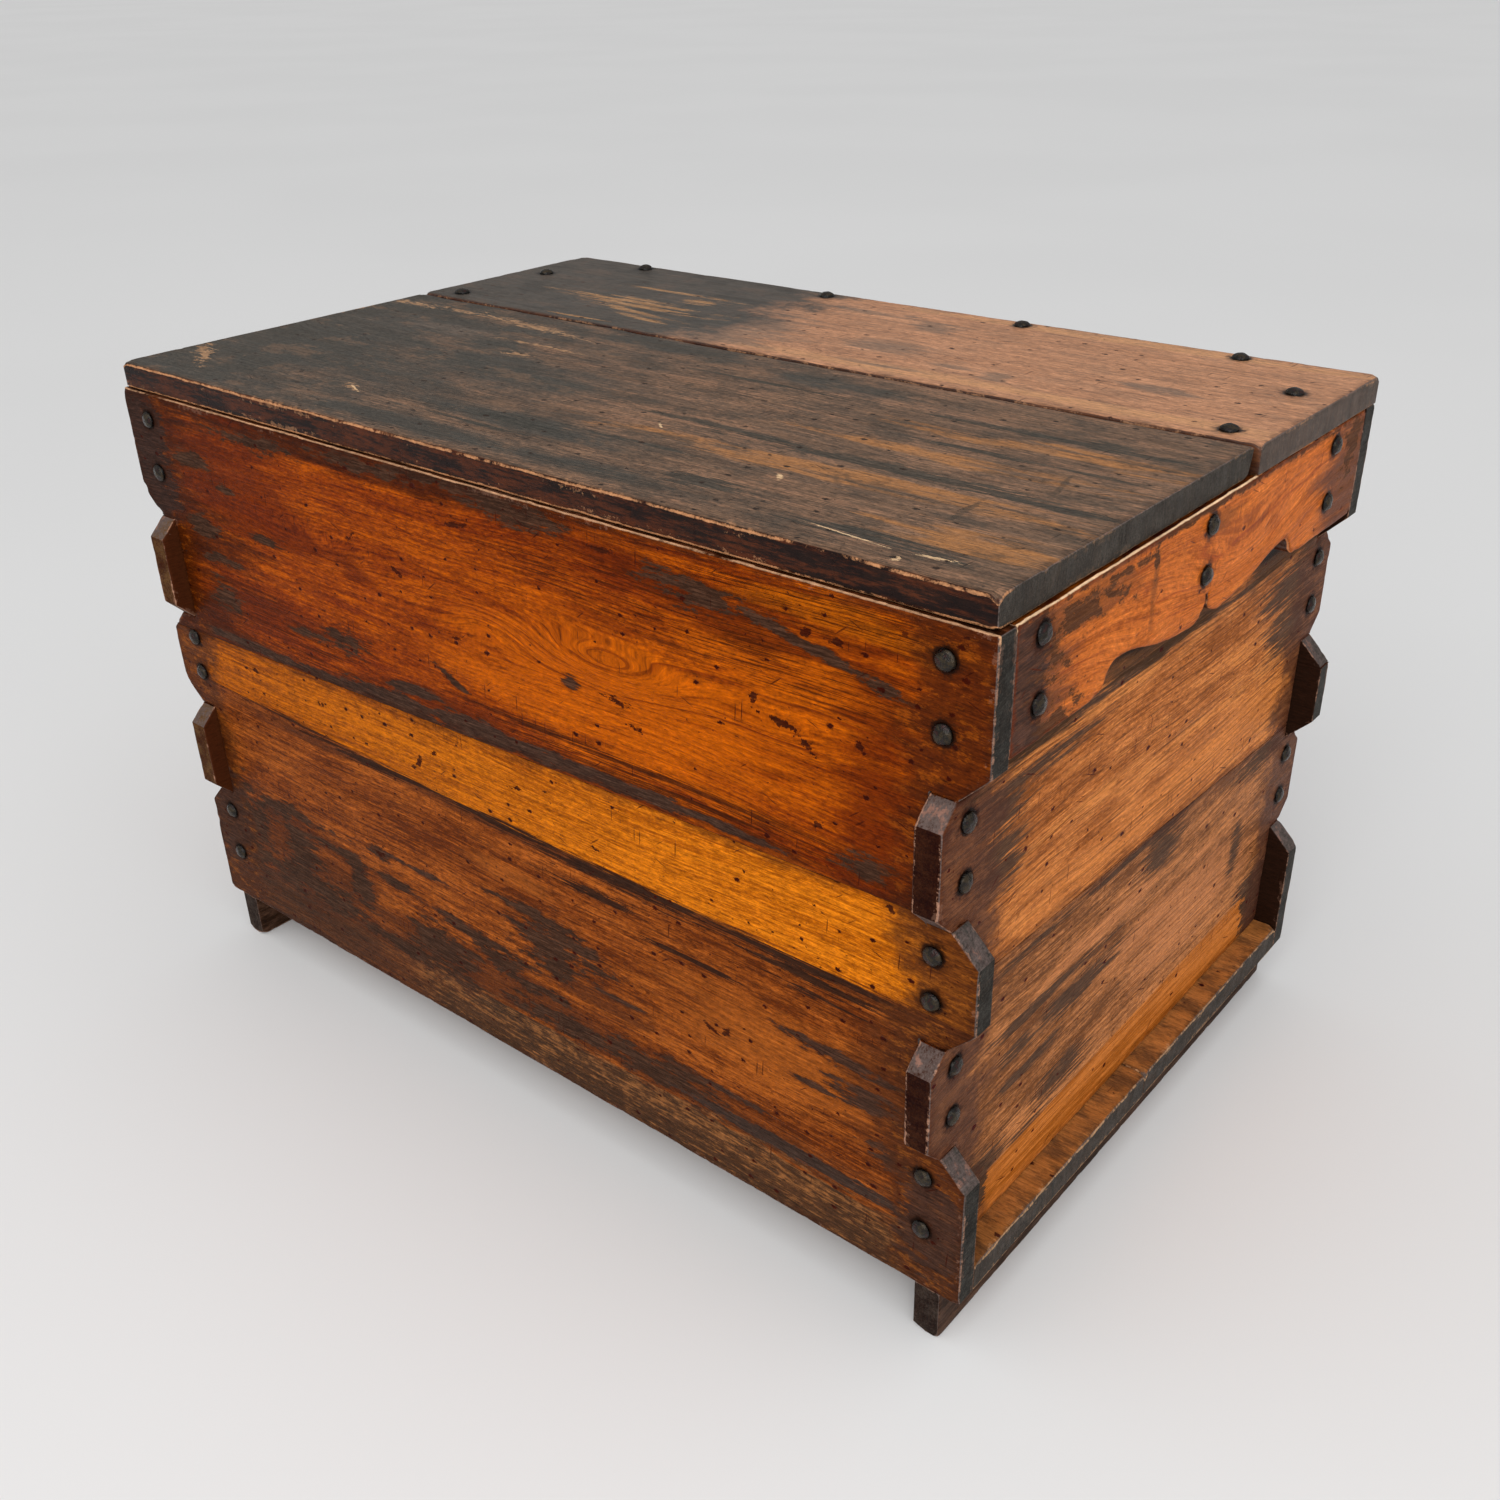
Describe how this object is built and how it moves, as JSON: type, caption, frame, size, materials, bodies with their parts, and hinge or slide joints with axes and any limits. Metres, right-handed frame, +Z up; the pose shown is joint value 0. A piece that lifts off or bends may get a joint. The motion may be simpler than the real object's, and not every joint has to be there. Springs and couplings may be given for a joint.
{
  "type": "ship chest",
  "caption": "Japanese ship chest of thick planks with interlocking corner ears, scalloped end battens, foot runners, a fixed rear top board and a loose tilting lid board.",
  "frame": {"origin": "centre of the footprint, on the ground under the runners", "axes": "+X along the chest's length, -Y is its front, +Z up"},
  "size_m": [0.918, 0.615, 0.6065],
  "materials": {
    "wall_wood": "aged oiled softwood, orange brown with dark patches, satin",
    "end_wood": "aged oiled softwood, tan orange with dark streaks, satin",
    "batten_wood": "aged oiled wood, bright orange red, satin",
    "lid_wood": "worn dark wood, grey green black to warm brown, satin",
    "top_wood": "worn wood, dark at the left and pinkish tan at the right, satin",
    "floor_wood": "rough aged wood",
    "runner_wood": "dark grimy wood",
    "cleat_wood": "plain aged wood, unfinished",
    "nail_iron": "dark forged iron, slightly rusty"
  },
  "bodies": {
    "chest": {"back_plank_lower": "wall_wood", "back_plank_upper": "wall_wood", "end_batten_left": "batten_wood", "end_batten_right": "batten_wood", "end_left_plank_lower": "end_wood", "end_left_plank_upper": "end_wood", "end_right_plank_lower": "end_wood", "end_right_plank_upper": "end_wood", "floor_board_front": "floor_wood", "floor_board_rear": "floor_wood", "front_plank_lower": "wall_wood", "front_plank_upper": "wall_wood", "nails_back_left": "nail_iron", "nails_back_right": "nail_iron", "nails_batten_left": "nail_iron", "nails_batten_right": "nail_iron", "nails_end_left_front": "nail_iron", "nails_end_left_rear": "nail_iron", "nails_end_right_front": "nail_iron", "nails_end_right_rear": "nail_iron", "nails_front_left": "nail_iron", "nails_front_right": "nail_iron", "nails_runner_left": "nail_iron", "nails_runner_right": "nail_iron", "nails_top_left": "nail_iron", "nails_top_rear_row": "nail_iron", "nails_top_right": "nail_iron", "runner_left": "runner_wood", "runner_right": "runner_wood", "top_board_fixed": "top_wood"},
    "lid": {"lid_board": "lid_wood", "lid_cleat_left": "cleat_wood", "lid_cleat_right": "cleat_wood", "nails_cleat_left": "nail_iron", "nails_cleat_right": "nail_iron"}
  },
  "joints": [
    {"name": "lid_tilt", "type": "hinge", "parent": "chest", "child": "lid", "pos_m": [0, 0.0495, 0.597], "axis": [-1, 0, 0], "range_deg": [0, 78]}
  ]
}
